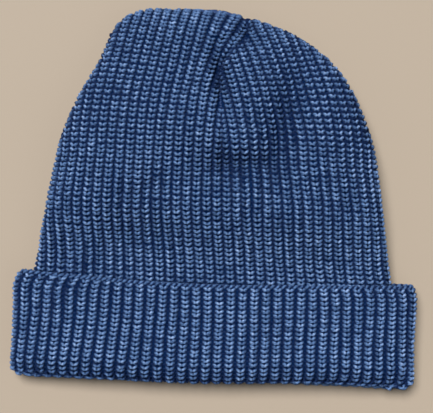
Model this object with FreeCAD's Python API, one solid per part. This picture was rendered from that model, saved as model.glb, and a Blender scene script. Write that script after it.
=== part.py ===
"""A ribbed, cuffed knit beanie lying flat on a table.

+X runs across the hat, +Y from the cuff's fold to the crown, +Z up from the table.
The hat is built square to the cuff with its fold at y = 0, and is moved at the end so
that the origin is the bottom centre of its box. Each knitted part is a wall of fabric
between an outer and an inner surface, and both surfaces come from one set of sections.
"""
import FreeCAD
import Part

import math
import os

# ---- driving dimensions, millimetres -------------------------------------------------

# the whole hat
hat_length = 219.0          # cuff fold to the top of the crown, lying flat
body_width = 209.0          # the flattened body where it comes out of the cuff
body_height = 37.0          # the body at its fullest, above the table
wall = 4.5                  # thickness of the rib fabric

# the cuff
cuff_depth = 63.0           # fold to cast-on edge
cuff_stand_out = 14.5       # how far each side of the cuff stands out past the body
cuff_waist = 1.0            # how far the middle of the cuff draws in
fold_depth = 6.0            # length of the rounded turn at the fold
cast_on_width = 2.5         # width of the cast-on edge
mouth_gap = 9.0             # height of the hollow between the two inner layers
slide_gap = 0.5             # clear space between the cuff and the body inside it
cuff_overlap = 10.0         # cuff left around the body when it is turned right down

# the body and crown
rise_length = 46.0          # run over which the body swells to its full height
body_taper = 0.165          # narrowing of each side for each millimetre up the body
shoulder = 126.0            # where the sides start to round in
crown_start = 132.0         # first row of the crown's shaping
shoulder_fullness = 0.36    # power of the side outline; smaller is squarer
crown_fullness = 0.5        # power of the height outline
crown_edge_height = 9.0     # height of the crown's top edge above the table
crown_lean = 25.0           # how far the top of the crown falls to the left
lean_start = 168.0          # where the lean begins
body_shift = -2.2           # the body lies this far to the left in the cuff

# seams and closing
seam_width = 4.0            # the two joined selvedges of the centre seam
seam_x = 4.0                # the centre seam runs up the upper face here
dart_width = 4.0            # the joined edges of two crown sections
tip_x = 13.0                # the point where the four darts meet
tip_from_top = 16.0         # and how far it lies below the top of the crown
gather_radius = 5.5         # the drawn-up stitches that close the crown

# the resting face
sole_dip = 1.0              # how much the underside is pressed flat by its own weight

# how a section is drawn
edge_share = 0.42           # height of the widest point, as a share of the thickness
upper_power = 2.7           # squareness of the upper half of a section
lower_power = 4.0           # squareness of the lower half
section_points = 40
cuff_stations = 9
swell_stations = 9
body_stations = 4
crown_stations = 12
crown_last_angle = 84.0     # the crown's last section, as an angle along its outline


# ---- levels that follow from them ----------------------------------------------------

cuff_low = -sole_dip
body_low_in_cuff = cuff_low + wall + slide_gap
body_high_in_cuff = body_low_in_cuff + 2 * wall + mouth_gap
cuff_high = body_high_in_cuff + slide_gap + wall
tip_y = hat_length - tip_from_top
far = 4 * hat_length + 4 * body_width


def blend(a, b, share):
    """A value between a and b that leaves each end level."""
    s = min(1.0, max(0.0, share))
    s = s * s * (3 - 2 * s)
    return a + (b - a) * s


def body_section(y, inset):
    """Half width, centre, lowest and highest level of the body's surface at y."""
    top = hat_length - inset
    t = max(0.0, (y - shoulder) / (top - shoulder))
    side = body_width / 2 - inset - body_taper * max(0.0, y - cuff_depth)
    half = side * (1 - t * t) ** shoulder_fullness
    lean = max(0.0, (y - lean_start) / (hat_length - lean_start)) ** 3
    centre = body_shift - crown_lean * lean
    share = (y - cuff_depth) / rise_length
    high = blend(body_high_in_cuff - inset, body_height - inset, share)
    low = blend(body_low_in_cuff + inset, inset - sole_dip, share)
    round_top = (1 - t * t) ** crown_fullness
    round_sole = (1 - t ** 4) ** crown_fullness
    high = crown_edge_height + (high - crown_edge_height) * round_top
    low = crown_edge_height + (low - crown_edge_height) * round_sole
    return half, centre, low, high


def cuff_section(y, inset):
    """Half width, centre, lowest and highest level of the cuff's surface at y."""
    waist = cuff_waist * math.sin(math.pi * y / cuff_depth)
    half = body_width / 2 + cuff_stand_out - waist - inset
    return half, 0.0, cuff_low + inset, cuff_high - inset


def outline(y, half, centre, low, high):
    """A closed, smooth curve across the hat at y: flat below and domed above."""
    middle = low + edge_share * (high - low)
    points = []
    for i in range(section_points):
        angle = 2 * math.pi * i / section_points
        c = math.cos(angle)
        s = math.sin(angle)
        power = upper_power if s >= 0 else lower_power
        reach = high - middle if s >= 0 else middle - low
        x = centre + half * math.copysign(abs(c) ** (2 / power), c)
        z = middle + reach * math.copysign(abs(s) ** (2 / power), s)
        points.append(FreeCAD.Vector(x, y, z))
    steps = [i / section_points for i in range(section_points + 1)]
    curve = Part.BSplineCurve()
    curve.interpolate(Points=points, PeriodicFlag=True, Parameters=steps)
    return Part.Wire(curve.toShape())


def loft(sections):
    """A closed solid through (y, half, centre, low, high) sections."""
    return Part.makeLoft([outline(*s) for s in sections], True, False)


def spread(start, end, count):
    """Evenly spaced stations from start to end, both included."""
    return [start + (end - start) * i / (count - 1) for i in range(count)]


def slab(low, high):
    """A box between two corners. None in a corner means as far as there is anything."""
    a = [-far if v is None else v for v in low]
    b = [far if v is None else v for v in high]
    size = [q - p for p, q in zip(a, b)]
    return Part.makeBox(*size, FreeCAD.Vector(*a))


above_table = slab((None, None, 0.0), (None, None, None))


# ---- the body and crown, as one bag --------------------------------------------------

def body_stations_to(top, start):
    """Stations up the body, closing up towards the top of the crown."""
    swell_end = cuff_depth + rise_length
    rows = spread(start, cuff_depth, cuff_stations)
    rows += spread(cuff_depth, swell_end, swell_stations)[1:]
    plain = spread(swell_end, shoulder, body_stations)
    closing = [
        shoulder + (top - shoulder) * math.sin(math.radians(angle))
        for angle in spread(0.0, crown_last_angle, crown_stations)
    ]
    for y in plain[1:] + closing[1:]:
        if y > rows[-1]:
            rows.append(y)
    return rows


def body_solid(inset, start):
    """The body's outer form, or its hollow when inset is the wall."""
    rows = body_stations_to(hat_length - inset, start)
    return loft([(y, *body_section(y, inset)) for y in rows])


def bag():
    """The body's fabric from the fold to the top of the crown, open at the mouth."""
    start = fold_depth + slide_gap
    outside = body_solid(0.0, start).common(above_table)
    return outside.cut(body_solid(wall, start - 2 * wall))


fabric = bag()
body_part = fabric.common(slab((None, None, None), (None, crown_start, None)))
crown_part = fabric.common(slab((None, crown_start, None), (None, None, None)))


# ---- the body tube and its centre seam -----------------------------------------------

upper_level = body_low_in_cuff + (body_high_in_cuff - body_low_in_cuff) / 2
seam_slab = slab(
    (seam_x - seam_width / 2, None, upper_level),
    (seam_x + seam_width / 2, None, None),
)
centre_seam = body_part.common(seam_slab)
body_tube = body_part.cut(seam_slab)


# ---- the crown: four sections, the darts between them and the closing ----------------

gather_post = Part.makeCylinder(
    gather_radius,
    body_height,
    FreeCAD.Vector(tip_x, tip_y, crown_edge_height),
)
crown_gather = crown_part.common(gather_post)
crown_cloth = crown_part.cut(gather_post)

dart_column = slab(
    (tip_x - dart_width / 2, None, None),
    (tip_x + dart_width / 2, None, None),
)
front_dart_limits = slab((None, None, crown_edge_height), (None, tip_y, None))
left_dart_slab = slab(
    (None, None, crown_edge_height - dart_width / 2),
    (tip_x - dart_width / 2, None, crown_edge_height + dart_width / 2),
)
right_dart_slab = slab(
    (tip_x + dart_width / 2, None, crown_edge_height - dart_width / 2),
    (None, None, crown_edge_height + dart_width / 2),
)
dart_strip = crown_cloth.common(dart_column)
darts = {
    "dart_seam_front": dart_strip.common(front_dart_limits),
    "dart_seam_back": dart_strip.cut(front_dart_limits),
    "dart_seam_left": crown_cloth.common(left_dart_slab),
    "dart_seam_right": crown_cloth.common(right_dart_slab),
}
left_side = (None, tip_x - dart_width / 2)
right_side = (tip_x + dart_width / 2, None)
front_side = (crown_edge_height + dart_width / 2, None)
back_side = (None, crown_edge_height - dart_width / 2)


def crown_section(across, up):
    """The quarter of the crown inside two pairs of limits."""
    return crown_cloth.common(slab((across[0], None, up[0]), (across[1], None, up[1])))


crown = {
    "crown_front_left": crown_section(left_side, front_side),
    "crown_front_right": crown_section(right_side, front_side),
    "crown_back_left": crown_section(left_side, back_side),
    "crown_back_right": crown_section(right_side, back_side),
}


# ---- the cuff ------------------------------------------------------------------------

def cuff_solid(inset, start, end):
    """The cuff's outer form, or its hollow when inset is the wall."""
    rows = spread(start, end, cuff_stations)
    return loft([(y, *cuff_section(y, inset)) for y in rows])


cuff_outside = cuff_solid(0.0, fold_depth, cuff_depth).common(above_table)
cuff_hollow = cuff_solid(wall, fold_depth - wall, cuff_depth + wall)
cuff_ring = cuff_outside.cut(cuff_hollow)
cast_on_y = cuff_depth - cast_on_width
cast_on_edge = cuff_ring.common(slab((None, cast_on_y, None), (None, None, None)))
turn_up = cuff_ring.common(slab((None, None, None), (None, cast_on_y, None)))
cuff_seam = turn_up.common(seam_slab)
cuff_turn_up = turn_up.cut(seam_slab)


def fold_ring():
    """The turn at the mouth: round outside, and flared into the hollow of the body."""
    outer = []
    inner = []
    rows = spread(0.0, fold_depth, cuff_stations)
    step = rows[1] - rows[0]
    for y in rows:
        turn = 1 - math.sqrt(1 - (1 - y / fold_depth) ** 2 * 0.96)
        outer.append((y, *cuff_section(y, wall * turn)))
        half, centre, low, high = body_section(y, wall)
        flare = wall / 2 * turn
        inner.append((y, half + flare, centre, low - flare, high + flare))
    before = (-step, *inner[0][1:])
    after = (fold_depth + step, *inner[-1][1:])
    mouth = loft([before] + inner + [after])
    return loft(outer).common(above_table).cut(mouth)


cuff_fold = fold_ring()


# ---- write the nodes -----------------------------------------------------------------

nodes = {
    "body_tube": body_tube,
    "centre_seam": centre_seam,
    **crown,
    **darts,
    "crown_gather": crown_gather,
    "cuff_turn_up": cuff_turn_up,
    "cuff_seam": cuff_seam,
    "cast_on_edge": cast_on_edge,
    "cuff_fold": cuff_fold,
}

box = Part.makeCompound(list(nodes.values())).optimalBoundingBox(False, False)
to_origin = FreeCAD.Vector(
    -(box.XMin + box.XMax) / 2,
    -(box.YMin + box.YMax) / 2,
    -box.ZMin,
)
os.makedirs("parts", exist_ok=True)
for name, shape in nodes.items():
    placed = shape.copy()
    placed.translate(to_origin)
    placed.exportStep(f"parts/{name}.step")
    b = placed.optimalBoundingBox(False, False)
    low_corner = (round(b.XMin, 2), round(b.YMin, 2), round(b.ZMin, 2))
    high_corner = (round(b.XMax, 2), round(b.YMax, 2), round(b.ZMax, 2))
    print(name, "solids", len(placed.Solids), "valid", placed.isValid(), low_corner, high_corner)
print("moved to the origin by", to_origin)
print("cuff travel", cuff_depth - fold_depth - slide_gap - cuff_overlap)
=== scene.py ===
# %% [markdown]
# # A ribbed knit beanie, lying flat
#
# A knitted hat is one long yarn pulled through itself. Its look comes from that: each
# stitch is a small bent loop, the ribs are columns of loops, and the dark lines between
# the ribs are gaps. So this scene doesn't paint a knit pattern on a bag. It bends a yarn
# into every stitch, course after course, over the form that the CAD frame gives.
#
# The order of the lesson is: sizes, the form of the bag, how the fabric lies on it, the path
# of one stitch, the yarn as a tube, its wool, the knitting of each part, and the studio.

import math

import bpy
import numpy as np
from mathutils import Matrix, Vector


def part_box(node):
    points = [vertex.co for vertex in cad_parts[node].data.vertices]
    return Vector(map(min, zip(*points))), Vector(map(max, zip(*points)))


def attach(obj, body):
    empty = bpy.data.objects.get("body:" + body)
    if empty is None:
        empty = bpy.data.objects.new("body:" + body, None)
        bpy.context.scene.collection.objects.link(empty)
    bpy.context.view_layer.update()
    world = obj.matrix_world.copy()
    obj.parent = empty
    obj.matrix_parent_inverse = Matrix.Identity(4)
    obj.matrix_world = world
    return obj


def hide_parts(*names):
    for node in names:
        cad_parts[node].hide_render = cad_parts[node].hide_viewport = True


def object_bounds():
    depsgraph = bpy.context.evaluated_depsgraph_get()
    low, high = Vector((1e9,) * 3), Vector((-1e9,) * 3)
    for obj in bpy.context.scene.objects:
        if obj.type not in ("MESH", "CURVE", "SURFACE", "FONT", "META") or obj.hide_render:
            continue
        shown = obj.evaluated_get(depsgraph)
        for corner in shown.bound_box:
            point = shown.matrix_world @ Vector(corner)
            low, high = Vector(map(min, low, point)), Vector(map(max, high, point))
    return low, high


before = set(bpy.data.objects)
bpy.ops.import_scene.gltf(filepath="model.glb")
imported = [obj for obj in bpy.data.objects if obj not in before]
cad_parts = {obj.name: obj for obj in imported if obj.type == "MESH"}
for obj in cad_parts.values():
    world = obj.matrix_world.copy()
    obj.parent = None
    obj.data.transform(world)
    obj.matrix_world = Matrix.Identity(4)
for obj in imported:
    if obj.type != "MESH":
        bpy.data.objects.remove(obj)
cad_low, cad_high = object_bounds()
mm = 0.001

# %% [markdown]
# ## Sizes from the frame
#
# The hat's main levels are read from the frame's nodes: the fold at the mouth, the top of
# the cuff, the first row of the crown. The form between them is a bag whose cross-section
# is flat below, where it lies on the table, and domed above. Sizes could also be typed in,
# but then they would have to be changed by hand each time the model changes.

# %% The hat's levels
fold_y = cad_low[1]
cuff_high_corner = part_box("cuff_turn_up")[1]
seam_low_corner, seam_high_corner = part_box("cuff_seam")
body_low_corner, body_high_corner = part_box("body_tube")
wall = seam_high_corner[2] - seam_low_corner[2]
hat_length = cad_high[1] - fold_y
cuff_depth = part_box("cast_on_edge")[1][1] - fold_y
crown_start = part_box("crown_front_left")[0][1] - fold_y
body_half = (body_high_corner[0] - body_low_corner[0]) / 2
body_centre = (body_high_corner[0] + body_low_corner[0]) / 2
body_height = body_high_corner[2]
cuff_half = cuff_high_corner[0]
cuff_height = cuff_high_corner[2]
slide_gap = 0.5 * mm
sole_dip = 1.0 * mm
print("wall", round(wall / mm, 2), "cuff depth", round(cuff_depth / mm, 1))
print("the crown starts", round(crown_start / mm, 1), "mm up the hat")

# %% [markdown]
# ## The form of the flattened bag
#
# A sculptor could squash a sphere, and a cloth simulation could let a bag fall on a table. A
# formula is used here: at each height up the hat, the cross-section is a superellipse, a
# rounded shape whose power says how full its corners are. The half that lies on the table is
# fuller and flatter than the half above. A formula gives any point of the hat from two
# numbers, the height and the angle, which is just what the stitches need later.

# %% Fullness, taper and lean of the bag
shoulder = crown_start - 6 * mm
rise_length = 46 * mm
body_taper = 0.165
crown_edge_height = 9 * mm
crown_lean = 25 * mm
lean_start = 168 * mm
crown_bulge = 4 * mm
bulge_height = 206 * mm
bulge_reach = 15 * mm
edge_share = 0.42
upper_power = 2.7
lower_power = 4.0
shoulder_fullness = 0.36
cuff_low = -sole_dip
body_low_in_cuff = cuff_low + wall + slide_gap
body_high_in_cuff = cuff_height - wall - slide_gap
low_high = (round(body_low_in_cuff / mm, 1), round(body_high_in_cuff / mm, 1))
print("inside the cuff the body lies between", low_high, "mm")


# %% The body's section at each height
def ease(share):
    """0 below 0, 1 above 1, and level at both ends."""
    s = np.clip(share, 0.0, 1.0)
    return s * s * (3 - 2 * s)


def body_section(h, inset):
    """Half width, centre, lowest and highest level of the body at height h up the hat."""
    top = hat_length - inset
    t = np.clip((h - shoulder) / (top - shoulder), 0.0, 0.9999)
    side = body_half - inset - body_taper * np.maximum(0.0, h - cuff_depth)
    half = side * (1 - t * t) ** shoulder_fullness
    lean = np.maximum(0.0, (h - lean_start) / (hat_length - lean_start)) ** 3
    centre = body_centre - crown_lean * lean
    bulge = crown_bulge * np.exp(-((h - bulge_height) / bulge_reach) ** 2)
    half = half + bulge / 2
    centre = centre - bulge / 2
    share = ease((h - cuff_depth) / rise_length)
    high = (body_high_in_cuff + (body_height - body_high_in_cuff) * share) - inset
    low = (body_low_in_cuff + (-sole_dip - body_low_in_cuff) * share) + inset
    high = crown_edge_height + (high - crown_edge_height) * np.sqrt(1 - t * t)
    low = crown_edge_height + (low - crown_edge_height) * np.sqrt(1 - t ** 4)
    return half, centre, low, high


for height in (60 * mm, 130 * mm, 200 * mm):
    half_width = float(body_section(np.array([height]), 0.0)[0][0])
    print("width of the body at", round(height / mm), "is", round(2 * half_width / mm, 1), "mm")


# %% The cuff's section, and points round any section
cuff_waist = 1.0 * mm


def cuff_section(h, inset):
    """The same four values for the cuff, which is a little narrower half way up."""
    waist = cuff_waist * np.sin(np.pi * np.clip(h / cuff_depth, 0, 1))
    half = cuff_half - waist - inset
    zero = np.zeros_like(h)
    return half, zero, zero + cuff_low + inset, zero + cuff_height - inset


def around(section, angle):
    """Points at an angle round a section: pi at the left, half pi on top, 0 at the right."""
    half, centre, low, high = section
    c = np.cos(angle)
    s = np.sin(angle)
    upper = s >= 0
    power = np.where(upper, upper_power, lower_power)
    middle = low + edge_share * (high - low)
    reach = np.where(upper, high - middle, middle - low)
    x = centre + half * np.sign(c) * np.abs(c) ** (2 / power)
    z = middle + reach * np.sign(s) * np.abs(s) ** (2 / power)
    return x, z


top_point = around(cuff_section(np.array([30 * mm]), 0.0), np.array([math.pi / 2]))
print("the cuff's upper surface stands at", round(float(top_point[1][0]) / mm, 1), "mm")

# %% [markdown]
# ## How the fabric lies
#
# Nothing made of wool lies as a perfect bag. The upper layer has sunk into a hollow below
# the crown, swells beside it, and is drawn into a crease where a dart was sewn. These could
# be sculpted with a brush, or left to a cloth simulation, which would put them where it
# liked. Each is listed instead, as a soft hill or hollow with a place, two radii, a turn
# and a height, added to the upper layer only.
#
# The same hills also paint the wool darker in each hollow. This is painted shade for the
# less light that reaches it there.

# %% Hills and hollows of the upper layer
# x, y up the hat from the fold, radius across, radius along, turn in degrees, height; in mm
hills = [
    (-22, 149, 22, 15, -20, 4.6),
    (10, 127, 20, 8, 6, -8.0),
    (36, 152, 8, 34, -10, -6.5),
    (15, 165, 10, 26, 5, 3.4),
    (-2.5, 178, 4.4, 20, 6, -8.5),
    (1, 138, 3.0, 14, 4, -2.5),
    (12, 202, 7, 7, 0, -6.0),
    (60, 150, 15, 34, 14, 2.6),
    (-68, 120, 14, 40, -8, 1.8),
    (-52, 86, 26, 12, 10, -3.0),
    (48, 92, 30, 14, -6, 2.2),
    (-30, 200, 22, 9, 0, 2.0),
    (-40, 112, 18, 8, 25, -2.4),
    (70, 108, 20, 7, -25, -2.0),
]


def drape(x, h):
    """How far the upper layer stands above the plain bag."""
    lift = np.zeros_like(x)
    for cx, cy, rx, ry, turn, height in hills:
        a = math.radians(turn)
        dx = x - cx * mm
        dy = h - cy * mm
        u = (dx * math.cos(a) + dy * math.sin(a)) / (rx * mm)
        v = (-dx * math.sin(a) + dy * math.cos(a)) / (ry * mm)
        lift = lift + height * mm * np.exp(-(u * u + v * v))
    return lift


def hollow_shade(x, h):
    """Painted shade in the hollows: how much darker the wool is painted where less light reaches it."""
    return np.clip(-drape(x, h) / (22 * mm), 0, 0.42)


probe_x = np.array([hills[1][0] * mm])
probe_h = np.array([hills[1][1] * mm])
hollow = float(drape(probe_x, probe_h)[0])
print(len(hills), "hills and hollows; below the crown the fabric lies at", round(hollow / mm, 1), "mm")

# %% The droop over the fold, and the line of the seam
fold_roll = 14 * mm
fold_droop = 6.5 * mm


def droop(h):
    """How far the upper layers have sunk towards the fold."""
    return fold_droop * (1 - ease(h / fold_roll))


# x, and y up the hat from the fold, in mm: the centre seam, and above it the front dart
seam_line = [(6.0, 40), (5.3, 63), (2.0, 96), (0.4, 127), (-0.6, 150), (-1.6, 165), (-3.5, 180),
             (6.0, 194), (13.0, 203), (12.0, 212), (4.0, 219)]


def seam_x(h):
    """Where the centre seam and the front dart run, up the hat."""
    xs = [p[0] * mm for p in seam_line]
    ys = [p[1] * mm for p in seam_line]
    return np.interp(h, ys, xs)


print("the seam meets the crown at x", round(float(seam_x(crown_start)) / mm, 1), "mm")


# %% [markdown]
# ## Courses and wales
#
# Knitters call a row of stitches a course and a column a wale. In rib, knit wales stand
# forward and purl wales sink back between them. The whole hat has the same number of
# wales in the cuff, the fold and the body; at the crown each of the four sections loses
# wales into its two darts, and its own wales stay parallel.
#
# A course is a fixed height of fabric, measured along the curved upper surface and not
# straight up the table. So the surface is measured first, in fine steps, and then divided.

# %% Counting the stitches
wales = 144
course = 2.75 * mm
yarn_radius = 0.76 * mm
mid = wall / 2
body_start = 7.4 * mm
across = 288
crown_end = math.radians(88.6)

fine_h = np.concatenate([
    np.linspace(body_start, shoulder, 1200),
    shoulder + (hat_length - mid - shoulder) * np.sin(np.linspace(0, crown_end, 900))[1:],
])
fine_top = body_section(fine_h, mid)[3]
fine_step = np.hypot(np.diff(fine_h), np.diff(fine_top))
fine_length = np.concatenate([[0.0], np.cumsum(fine_step)])
body_rows = int(fine_length[-1] / course)
body_course = fine_length[-1] / body_rows
print("courses in the body and crown", body_rows, "at", round(body_course / mm, 3), "mm")

# %% The cuff's courses, round the fold and up to the cast-on edge
turn_start = 5.0 * mm
turn_depth = turn_start - mid
cast_on_height = cuff_depth - 1.6 * mm
cuff_rows = int(round((cast_on_height - turn_start) / course))
fold_rows = 3
print("courses in the fold", fold_rows, "and in the cuff", cuff_rows)

# %% [markdown]
# ## A surface to knit on
#
# A stitch has to land on the fabric whatever the fabric's shape. So each part's surface is
# kept as a grid of points: its rows run up the hat and its columns divide each row into
# equal lengths of fabric. Between the grid's points everything is read off by mixing the
# four corners, as a map is read between its lines. The same could be done with Blender's
# Surface Deform or a lattice, but reading a grid is quick enough for a million points.


# %% Equal lengths round a row
def angles_round(count):
    """Angles from 0 to a full turn, closer together where a section's formula moves fastest."""
    turn = np.linspace(0, 2 * np.pi, count + 1)
    crowding = 0.245
    return turn - crowding * np.sin(4 * turn)


def row_angles(rows_h, section_of, rise):
    """Angles round a row, and for each row how far round they are and where they are across."""
    theta = angles_round(900)
    h = rows_h[:, None] + 0 * theta[None, :]
    h = rise(h, np.cos(theta)[None, :])
    sec = section_of(h)
    x, z = around(sec, -theta[None, :] + 0 * h)
    step = np.sqrt(np.diff(x) ** 2 + np.diff(h) ** 2 + np.diff(z) ** 2)
    arc = np.concatenate([np.zeros((len(rows_h), 1)), np.cumsum(step, axis=1)], axis=1)
    return theta, arc, x


print("the finest step round a row is", round(float(np.diff(angles_round(900)).min()), 5), "radians")


# %% A knitted surface
class Cloth:
    """A knitted surface as a grid: rows up the fabric, and equal lengths round each row."""

    def __init__(self, points, girth, painted_shade, closed=True, knit_spread=0.0):
        self.painted_shade = painted_shade
        self.knit_spread = knit_spread
        self.points = points
        self.girth = girth
        rows, cols = points.shape[:2]
        along = np.gradient(points, axis=0)
        round_row = np.gradient(points, axis=1)
        if closed:
            round_row[:, 0] = (points[:, 1] - points[:, -2]) / 2
            round_row[:, -1] = round_row[:, 0]
        normal = np.cross(round_row, along)
        normal /= np.maximum(np.linalg.norm(normal, axis=2, keepdims=True), 1e-12)
        self.normal = normal
        self.rows = rows
        self.cols = cols - 1

    def at(self, grid_row, share, lift):
        """Points lifted off the surface, and how much painted shade the wool gets there."""
        share = share - np.floor(share)
        r = np.clip(grid_row, 0, self.rows - 1.0001)
        c = np.clip(share * self.cols, 0, self.cols - 1e-6)
        r0 = r.astype(int)
        c0 = c.astype(int)
        fr = (r - r0)[..., None]
        fc = (c - c0)[..., None]

        def mix(a):
            low = a[r0, c0] * (1 - fc) + a[r0, c0 + 1] * fc
            high = a[r0 + 1, c0] * (1 - fc) + a[r0 + 1, c0 + 1] * fc
            return low * (1 - fr) + high * fr

        normal = mix(self.normal)
        normal /= np.maximum(np.linalg.norm(normal, axis=-1, keepdims=True), 1e-12)
        return mix(self.points) + normal * lift[..., None], mix(self.painted_shade[..., None])[..., 0]


# %% [markdown]
# ## The body and crown as a cloth
#
# The body's grid starts at the mouth and ends at the tip. Its columns are counted from the
# centre seam, so a wale stays a wale all the way up. Near the top the courses rise on both
# sides of the front dart, because the sections were shaped with slanting edges before they
# were sewn. The places of the other three darts are kept as shares of the way round.

# %% How the courses rise beside the dart
sub = 3
tilt_right = 1.3
tilt_left = 0.8
grid_length = np.arange(body_rows * sub + 1) / sub * body_course
grid_h = np.interp(grid_length, fine_length, fine_h)
print("rows in the body's grid", len(grid_h))


def body_rise(h, side):
    """Courses rise to both sides of the dart, more to the right."""
    top = hat_length - mid
    t = np.clip((h - shoulder) / (top - shoulder), 0, 0.9999)
    lean = np.where(side > 0, tilt_right * side, -tilt_left * side)
    lean = np.sqrt(lean * lean + 0.0004) - 0.02
    return h + (top - shoulder) * (1 - t) * t * t * lean


# %% Laying out the body
body_spread = 0.40
dart_angles = {"right": 0.04, "back": math.pi / 2, "left": math.pi - 0.04}


def body_cloth():
    """The grid of the body and crown, with the share of the way round of each dart."""
    theta, arc, x = row_angles(grid_h, lambda v: body_section(v, mid), body_rise)
    points = np.zeros((len(grid_h), across + 1, 3))
    painted_shade = np.zeros((len(grid_h), across + 1))
    marks = {name: [] for name in dart_angles}
    girth = arc[:, -1]
    for i in range(len(grid_h)):
        upper = theta >= np.pi
        at_seam = np.interp(seam_x(grid_h[i]), x[i][upper], arc[i][upper])
        for name, angle in dart_angles.items():
            turn = (np.interp(angle, theta, arc[i]) - at_seam) / girth[i]
            marks[name].append(turn % 1.0)
        wanted = (at_seam + np.arange(across + 1) / across * girth[i]) % girth[i]
        a = np.interp(wanted, arc[i], theta)
        hh = body_rise(grid_h[i] + 0 * a, np.cos(a))
        xx, zz = around(body_section(hh, mid), -a)
        upper_layer = ease(np.sin(-a) / 0.5)
        zz = zz + (drape(xx, hh) - droop(hh)) * upper_layer
        # painted shade in the drape's hollows, on the upper layer only
        painted_shade[i] = hollow_shade(xx, hh) * upper_layer
        points[i] = np.stack([xx, hh + fold_y, zz], axis=1)
    marks = {name: np.array(shares) for name, shares in marks.items()}
    return Cloth(points, girth, painted_shade, knit_spread=body_spread), marks


body, dart_marks = body_cloth()
print("girth of the body", round(body.girth[0] / mm), "at the shoulder", round(body.girth[150] / mm))


# %% [markdown]
# ## The cuff as a cloth
#
# The cuff is the same fabric turned back on itself. Its grid starts inside the mouth, goes
# half a turn round the fold and runs up the outside to the cast-on edge. A turned-up cuff
# is never straight: the fold wanders, the cast-on edge sags between its corners, the wales
# at the left lean where the layer has slipped sideways, and the four corners draw in.


# %% How the cuff's edges wander
def fold_wave(x):
    """How far the fold wanders from a straight line across the front."""
    u = x / cuff_half
    return (1.1 * u + 1.5 * np.exp(-((u - 0.42) / 0.35) ** 2) - 0.5 * np.cos(5 * u)) * mm


def cast_on_wave(x):
    """How far the top of the cuff sags between its two corners."""
    u = x / cuff_half
    return (-3.0 * (1 - u ** 2) - 0.6 * np.cos(4.2 * u + 0.6)) * mm


top_reach = 12 * mm
foot_reach = 10 * mm
foot_draw = 2.0 * mm


def corner(x, h):
    """How far the cuff's ends draw in at its four corners."""
    top_draw = np.where(x < 0, 5.6 * mm, 3.8 * mm)
    top = top_draw * np.clip((h - cuff_depth + top_reach) / top_reach, 0, 1) ** 2
    foot = foot_draw * np.clip((foot_reach - h) / foot_reach, 0, 1) ** 2
    return (top + foot) * ease((np.abs(x) / cuff_half - 0.4) / 0.4)


print("the cast-on edge sags", round(float(cast_on_wave(0.0)) / mm, 1), "mm at the middle")

# %% Laying out the cuff
slant_reach = 6 * mm
slant_x = -70 * mm
slant_width = 42 * mm
# painted shade: how much darker the front of the cuff is painted as it droops round the fold
fold_shade = 0.30


def slant(x, up):
    """How far the wales lean round the cuff, most near one place on the left."""
    return slant_reach * (up - 0.5) * np.exp(-((x - slant_x) / slant_width) ** 2)


def cuff_cloth():
    """The grid of the fold and the cuff. It starts inside the mouth and ends at the top."""
    turn = np.linspace(0, np.pi, fold_rows * sub + 1)
    rise = np.linspace(turn_start, cast_on_height, cuff_rows * sub + 1)[1:]
    h = np.concatenate([turn_start - turn_depth * np.sin(turn), rise])
    outer = np.concatenate([(1 - np.cos(turn)) / 2, np.ones(len(rise))])
    theta = angles_round(900)
    points = np.zeros((len(h), across + 1, 3))
    painted_shade = np.zeros((len(h), across + 1))
    girth = np.zeros(len(h))
    upper = theta >= np.pi
    for i in range(len(h)):
        level = np.array([h[i]])
        inner_form = body_section(level, mid)
        outer_form = cuff_section(level, mid)
        form = [a * (1 - outer[i]) + b * outer[i] for a, b in zip(inner_form, outer_form)]
        x, z = around(form, -theta)
        step = np.hypot(np.diff(x), np.diff(z))
        arc = np.concatenate([[0.0], np.cumsum(step)])
        girth[i] = arc[-1]
        at_seam = np.interp(seam_x(h[i]), x[upper], arc[upper])
        wanted = at_seam + np.arange(across + 1) / across * girth[i]
        a = np.interp(wanted % girth[i], arc, theta)
        xx = around(form, -a)[0]
        up = h[i] / cuff_depth
        shift = slant(xx, up) * ease(np.sin(-a) / 0.5)
        a = np.interp((wanted + shift) % girth[i], arc, theta)
        xx, zz = around(form, -a)
        front = ease(np.sin(-a) / 0.5)
        xx = xx - np.sign(xx) * corner(xx, h[i])
        # painted shade: the front of the cuff is painted darker where it droops towards the fold
        painted_shade[i] = fold_shade * front * droop(h[i]) / fold_droop
        hh = h[i] + front * (fold_wave(xx) * (1 - up) + cast_on_wave(xx) * up)
        zz = zz - front * droop(h[i])
        points[i] = np.stack([xx, hh + fold_y, zz], axis=1)
    return Cloth(points, girth, painted_shade)


cuff = cuff_cloth()
print("girth of the cuff", round(cuff.girth[-1] / mm), "mm")

# %% [markdown]
# ## One stitch
#
# In one-by-one rib the yarn makes a loop towards the front, crosses to the back, makes a
# loop there and comes forward again. A loop is narrow where it comes up through the loop
# below, spreads into the two arms of a V, and tucks its head behind the next course. The
# points below give that path for a knit loop; a purl loop is the same path turned to the
# back. A smooth curve through them makes the pattern that every stitch repeats. A picture of
# knitting, or bumps on a flat sheet, would be lighter, but they don't hold up from the side.

# %% The path of a stitch
# across in ribs, up in courses, forward as a share of the loop's depth
knit_loop = [(-0.25, -0.24, 0.0), (-0.125, -0.15, 0.62), (-0.055, 0.04, 0.98), (-0.17, 0.17, 1.14),
             (-0.285, 0.27, 1.0), (-0.325, 0.43, 0.55), (-0.235, 0.74, 0.0), (0.0, 0.92, -0.25)]
loop_depth = 1.0 * mm
rib_wave = 0.62 * mm
per_wale = 16
# how long one rib, one course and one loop's depth are beside each other
stitch_shape = (6.0, 2.75, 1.35)


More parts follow.
